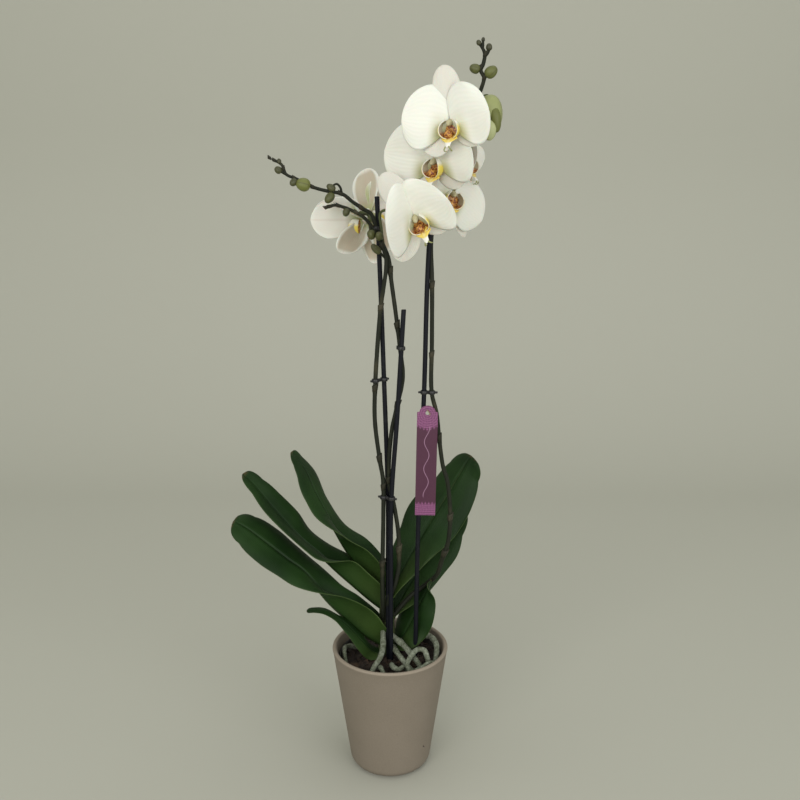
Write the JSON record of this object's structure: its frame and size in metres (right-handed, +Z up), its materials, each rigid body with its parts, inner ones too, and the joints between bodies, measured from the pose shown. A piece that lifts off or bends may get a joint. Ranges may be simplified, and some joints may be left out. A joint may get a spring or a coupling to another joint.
{
  "type": "potted orchid",
  "caption": "White moth orchid with arching flower spikes tied to stakes, strap leaves and aerial roots, in a tapered taupe cover pot with a burgundy plant tag.",
  "frame": {"origin": "centre of the cover pot's underside, on the ground it rests on", "axes": "+Z up; +Y away from a viewer in front of the plant, +X to that viewer's right; metres"},
  "size_m": [0.2836, 0.1638, 0.7861],
  "materials": {
    "cover_pot": "matte taupe stoneware with a fine grain",
    "grow_pot": "matte dark nursery plastic",
    "stake": "near-black coated stake, satin",
    "crown": "living green stem, satin",
    "spike": "living green-brown flower stem, satin",
    "root": "silvery green aerial root, matte",
    "leaf": "living dark green leaf, satin",
    "bark": "damp dark bark chips, matte",
    "sepal": "living cream white sepal, soft satin",
    "petal": "living cream white petal, soft satin",
    "lip": "living lip, yellow and red-brown on white, soft satin",
    "clip": "black plastic, satin gloss",
    "tag": "coated card, burgundy with a pink ornament",
    "tie": "twisted tan cord, matte"
  },
  "bodies": {
    "root": {"cover_pot": "cover_pot", "grow_pot": "grow_pot", "stake_tall": "stake", "stake_short": "stake", "stake_right": "stake", "stem_base": "crown", "flower_spike_1": "spike", "flower_spike_2": "spike", "flower_spike_3": "spike", "root_1": "root", "root_2": "root", "root_3": "root", "root_4": "root", "root_5": "root", "root_6": "root", "root_7": "root", "root_8": "root", "leaf_1": "leaf", "leaf_2": "leaf", "leaf_3": "leaf", "leaf_4": "leaf", "leaf_5": "leaf", "leaf_6": "leaf", "leaf_7": "leaf", "bark_mix": "bark", "flower_1_sepals": "sepal", "flower_1_petal_left": "petal", "flower_1_petal_right": "petal", "flower_1_lip": "lip", "flower_2_sepals": "sepal", "flower_2_petal_left": "petal", "flower_2_petal_right": "petal", "flower_2_lip": "lip", "flower_3_sepals": "sepal", "flower_3_petal_left": "petal", "flower_3_petal_right": "petal", "flower_3_lip": "lip", "flower_4_sepals": "sepal", "flower_4_petal_left": "petal", "flower_4_petal_right": "petal", "flower_4_lip": "lip", "flower_5_sepals": "sepal", "flower_5_petal_left": "petal", "flower_5_petal_right": "petal", "flower_5_lip": "lip", "flower_6_sepals": "sepal", "flower_6_petal_left": "petal", "flower_6_petal_right": "petal", "flower_6_lip": "lip", "flower_7_sepals": "sepal", "flower_7_petal_left": "petal", "flower_7_petal_right": "petal", "flower_7_lip": "lip", "clip_1": "clip", "clip_2": "clip", "clip_3": "clip", "clip_4": "clip", "clip_5": "clip", "tag": "tag", "tag_tie": "tie"}
  },
  "joints": []
}
